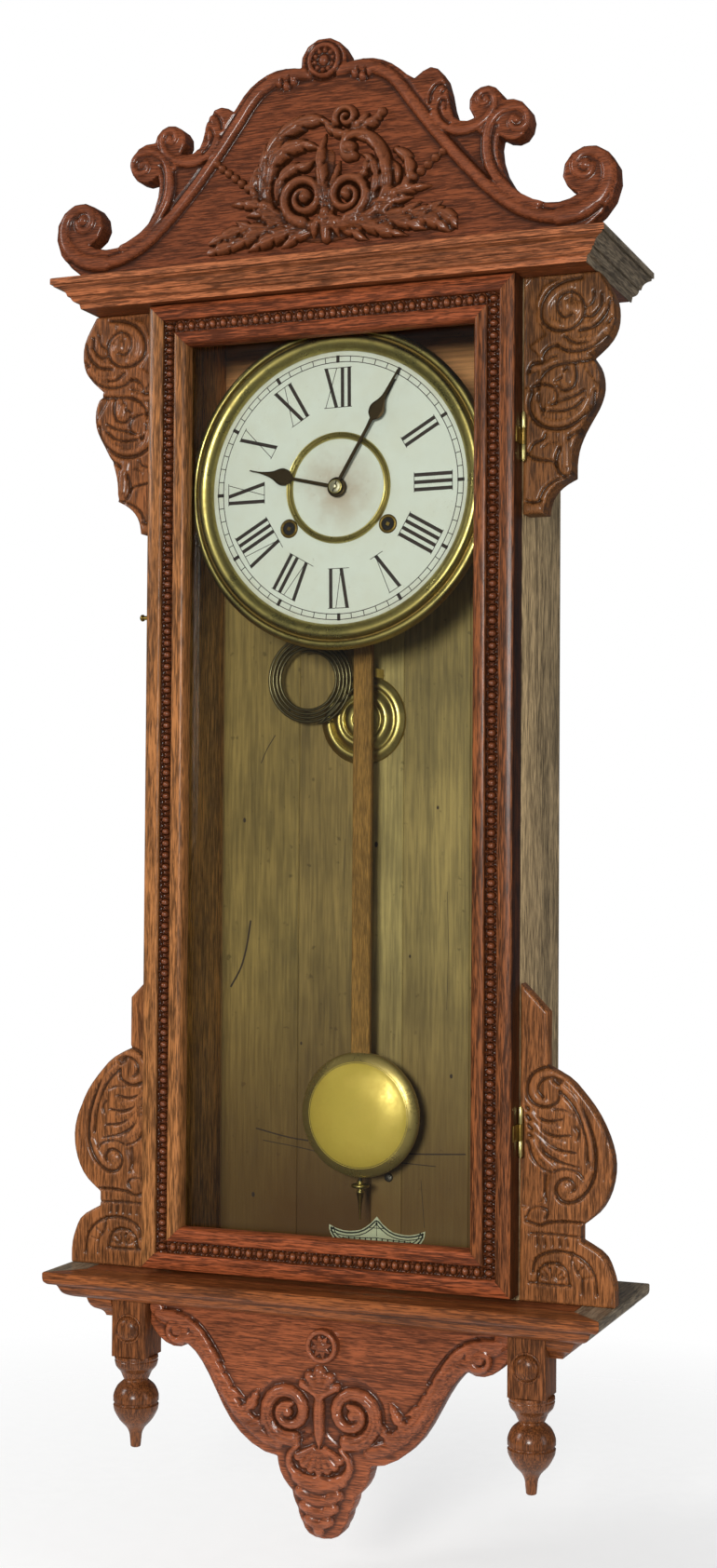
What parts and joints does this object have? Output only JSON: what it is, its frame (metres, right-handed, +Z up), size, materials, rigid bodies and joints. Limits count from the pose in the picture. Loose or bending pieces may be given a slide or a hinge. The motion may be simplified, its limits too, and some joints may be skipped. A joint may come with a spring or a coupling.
{
  "type": "pendulum wall clock",
  "caption": "Spring-driven striking wall clock in a carved oak case, with a scrolled pediment, glazed door, round dial, pendulum and coil gong.",
  "frame": {"origin": "centre of the hanger plate's hole, in the plane of the wall that the case's back rests on", "axes": "+Z up, +Y into the wall, +X to the right as a viewer faces the dial, which looks along -Y"},
  "size_m": [0.4418, 0.1416, 1.0935],
  "materials": {
    "oak_red": "varnished red-brown oak",
    "oak_gold": "varnished golden oak",
    "back_wood": "thinly varnished, aged",
    "brass": "satin, tarnished",
    "blued_steel": "blued, near black",
    "steel": "dull",
    "enamel": "off-white printed dial",
    "card": "printed cream plate",
    "clear_glass": "clear sheet"
  },
  "bodies": {
    "case": {"side_left": "oak_red", "side_right": "oak_red", "backboard": "back_wood", "cornice_board": "oak_red", "cornice_front": "oak_red", "cornice_left": "oak_red", "cornice_right": "oak_red", "shelf_board": "oak_red", "shelf_front": "oak_red", "shelf_left": "oak_red", "shelf_right": "oak_red", "under_moulding_left": "oak_red", "under_moulding_right": "oak_red", "pediment": "oak_red", "pediment_ornament": "oak_red", "upper_bracket_left": "oak_gold", "upper_bracket_right": "oak_gold", "lower_bracket_left": "oak_gold", "lower_bracket_right": "oak_gold", "apron": "oak_red", "apron_rosette": "oak_red", "drop_block_left": "oak_red", "drop_block_right": "oak_red", "drop_finial_left": "oak_red", "drop_finial_right": "oak_red", "hanger_plate": "steel", "hinge_upper_case_leaf": "brass", "hinge_lower_case_leaf": "brass", "dial": "enamel", "dial_bezel": "brass", "centre_ring": "brass", "front_plate": "brass", "back_plate": "brass", "time_mainspring": "steel", "strike_mainspring": "steel", "seat_bracket": "steel", "suspension_cock": "brass", "gong_base": "brass", "gong_coil": "blued_steel", "beat_scale": "card"},
    "door": {"door_stile_left": "oak_gold", "door_stile_right": "oak_gold", "door_rail_top": "oak_red", "door_rail_bottom": "oak_red", "door_glass": "clear_glass", "hinge_upper_door_leaf": "brass", "hinge_lower_door_leaf": "brass", "latch_pin": "brass"},
    "latch": {"latch_hook": "brass"},
    "minute": {"minute_hand": "blued_steel", "centre_arbor": "brass"},
    "hour": {"hour_hand": "blued_steel"},
    "time_winding": {"time_wheel": "brass"},
    "strike_winding": {"strike_wheel": "brass"},
    "escape": {"escape_wheel": "brass"},
    "verge": {"verge": "steel"},
    "pendulum": {"pendulum_stick": "oak_gold", "pendulum_bob": "brass"},
    "rating": {"rating_nut": "brass"},
    "hammer": {"hammer": "steel"}
  },
  "joints": [
    {"name": "door_swing", "type": "hinge", "parent": "case", "child": "door", "pos_m": [0.147, -0.102, -0.4], "axis": [0, 0, 1], "range_deg": [0, 105]},
    {"name": "latch_turn", "type": "hinge", "parent": "case", "child": "latch", "pos_m": [-0.147, -0.083, -0.268], "axis": [1, 0, 0], "range_deg": [0, 90]},
    {"name": "minute_turn", "type": "hinge", "parent": "case", "child": "minute", "pos_m": [0, -0.097, -0.176], "axis": [0, 1, 0], "continuous": true},
    {"name": "hour_turn", "type": "hinge", "parent": "case", "child": "hour", "pos_m": [0, -0.0935, -0.176], "axis": [0, 1, 0], "continuous": true},
    {"name": "time_winding_turn", "type": "hinge", "parent": "case", "child": "time_winding", "pos_m": [0.0395, -0.07, -0.2047], "axis": [0, 1, 0], "continuous": true},
    {"name": "strike_winding_turn", "type": "hinge", "parent": "case", "child": "strike_winding", "pos_m": [-0.0395, -0.07, -0.2047], "axis": [0, 1, 0], "continuous": true},
    {"name": "escape_turn", "type": "hinge", "parent": "case", "child": "escape", "pos_m": [0, -0.06, -0.116], "axis": [0, 1, 0], "continuous": true},
    {"name": "pendulum_swing", "type": "hinge", "parent": "case", "child": "pendulum", "pos_m": [0, -0.0365, -0.09], "axis": [0, 1, 0], "range_deg": [-3.5, 3.5]},
    {"name": "verge_rock", "type": "hinge", "parent": "case", "child": "verge", "pos_m": [0, -0.06, -0.09], "axis": [0, 1, 0], "range_deg": [-3.5, 3.5]},
    {"name": "rating_turn", "type": "hinge", "parent": "pendulum", "child": "rating", "pos_m": [0, -0.0365, -0.71], "axis": [0, 0, 1], "continuous": true},
    {"name": "hammer_lift", "type": "hinge", "parent": "case", "child": "hammer", "pos_m": [-0.026, -0.06, -0.228], "axis": [0, 1, 0], "range_deg": [0, 15]}
  ],
  "couplings": [
    {"joint": "hour_turn", "follows": "minute_turn", "ratio": 0.083333},
    {"joint": "verge_rock", "follows": "pendulum_swing", "ratio": 1}
  ]
}
